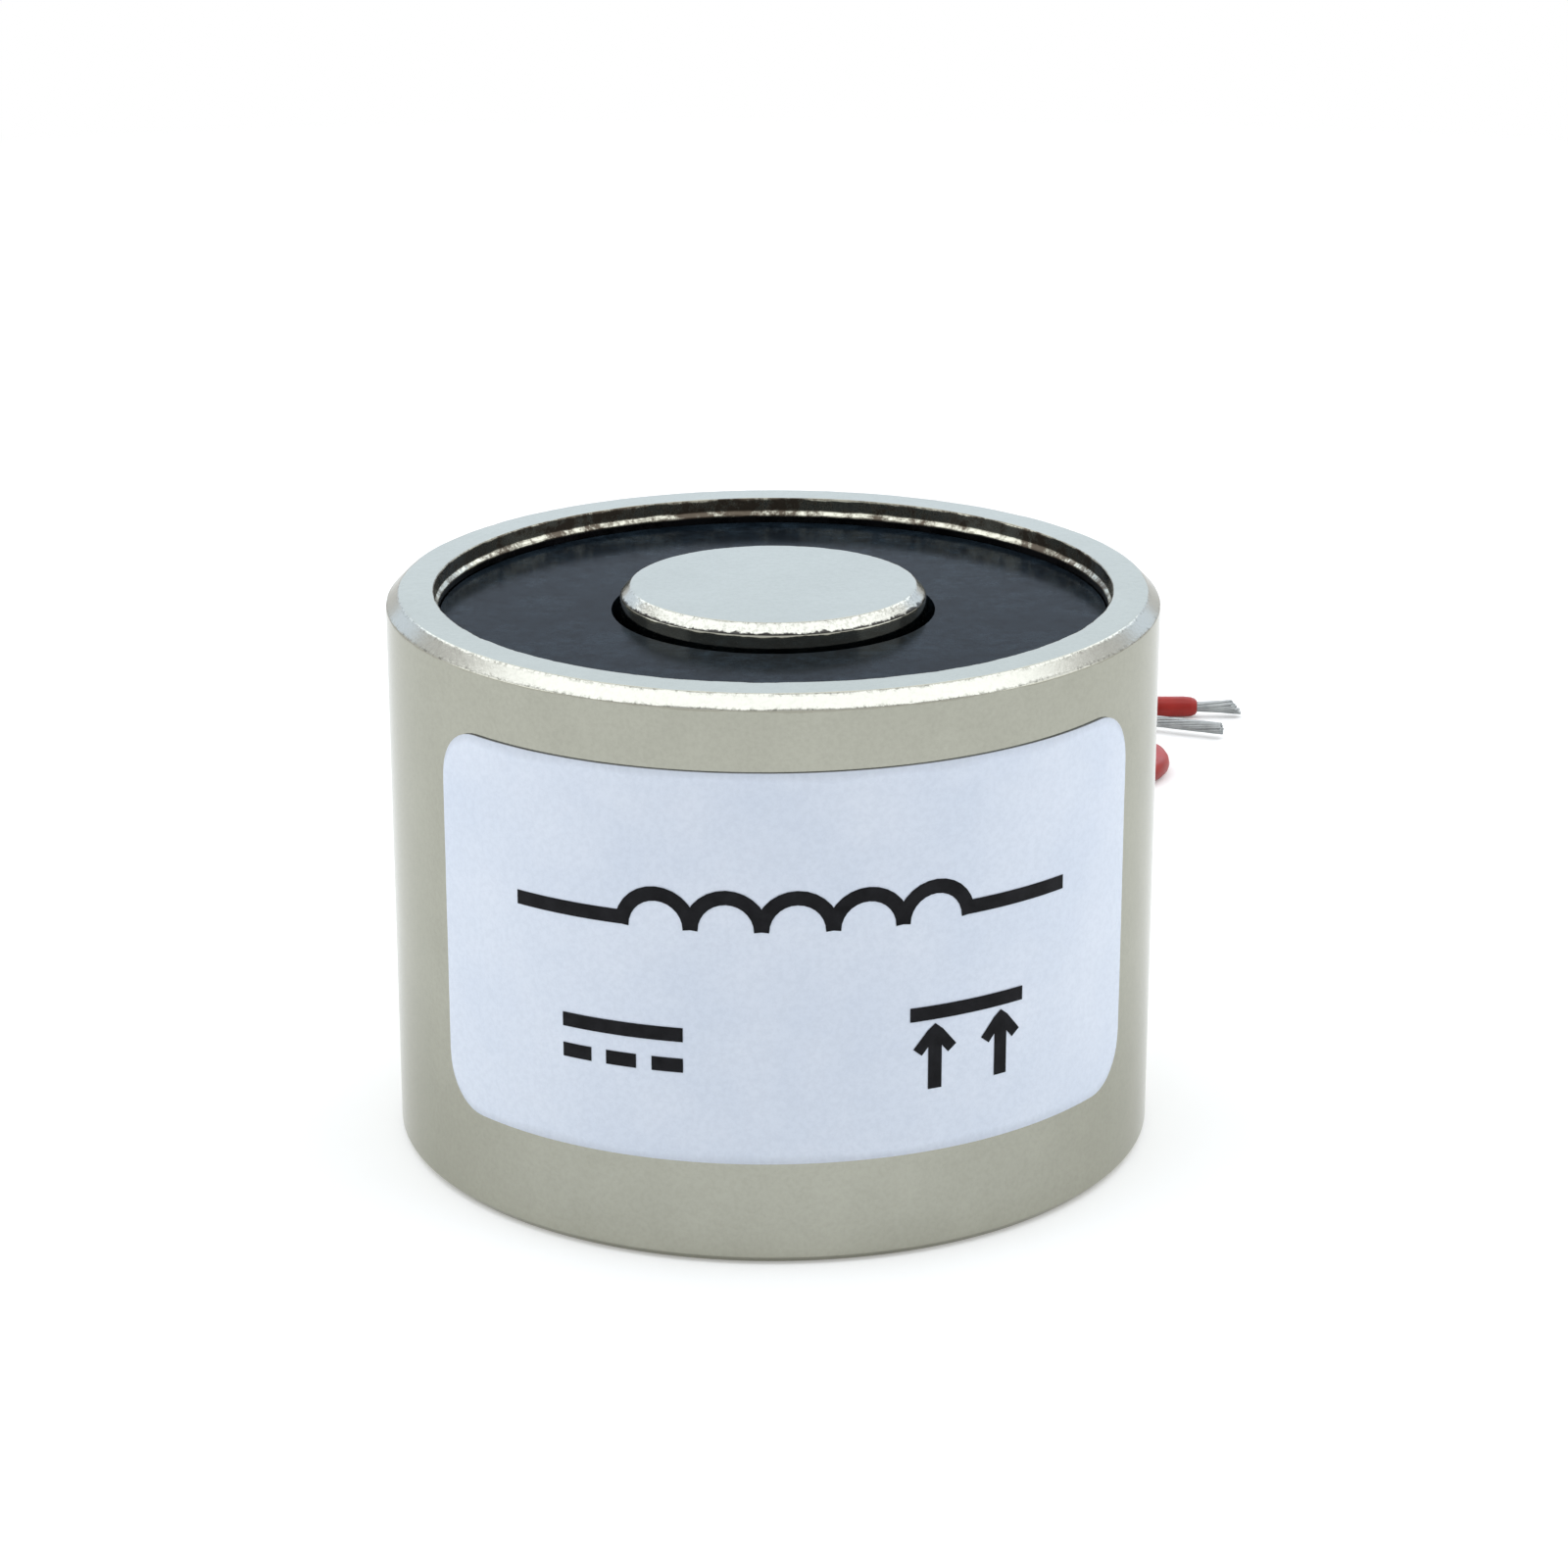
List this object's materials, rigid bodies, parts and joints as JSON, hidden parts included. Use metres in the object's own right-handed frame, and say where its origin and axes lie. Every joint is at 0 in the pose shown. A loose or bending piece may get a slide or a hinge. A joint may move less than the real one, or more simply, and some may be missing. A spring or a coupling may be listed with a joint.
{
  "type": "holding electromagnet",
  "caption": "Round pot-type holding electromagnet with a flush centre pole, a recessed dark bobbin, a plain side label, a tapped hole in its base and thin red leads.",
  "frame": {"origin": "on the pot's axis at the flat mounting face, at the mouth of the tapped hole", "axes": "+Z along the axis from the mounting face to the holding face; the label looks towards -Y and the leads leave towards +Y"},
  "size_m": [0.0398, 0.0697, 0.022],
  "materials": {
    "nickel_steel": "satin nickel plate over turned steel",
    "dark_nylon": "moulded, slightly glossy",
    "enamelled_copper": "enamelled copper wire",
    "amber_tape": "polyester film tape",
    "black_rubber": "moulded rubber",
    "grey_sleeve": "shrunk sleeve",
    "label_paper": "matt coated paper",
    "red_insulation": "soft vinyl, half matt",
    "white_tie": "coated strip",
    "tinned_copper": "tinned strands"
  },
  "bodies": {
    "root": {"pot_shell": "nickel_steel", "pole_core": "nickel_steel", "bobbin": "dark_nylon", "coil_winding": "enamelled_copper", "winding_tape": "amber_tape", "lead_grommet": "black_rubber", "splice_sleeve_1": "grey_sleeve", "splice_sleeve_2": "grey_sleeve", "label": "label_paper", "lead_1_root": "red_insulation", "lead_2_root": "red_insulation", "lead_coil": "red_insulation", "lead_tie": "white_tie", "lead_1_end": "red_insulation", "lead_2_end": "red_insulation", "lead_1_strands": "tinned_copper", "lead_2_strands": "tinned_copper"}
  },
  "joints": []
}
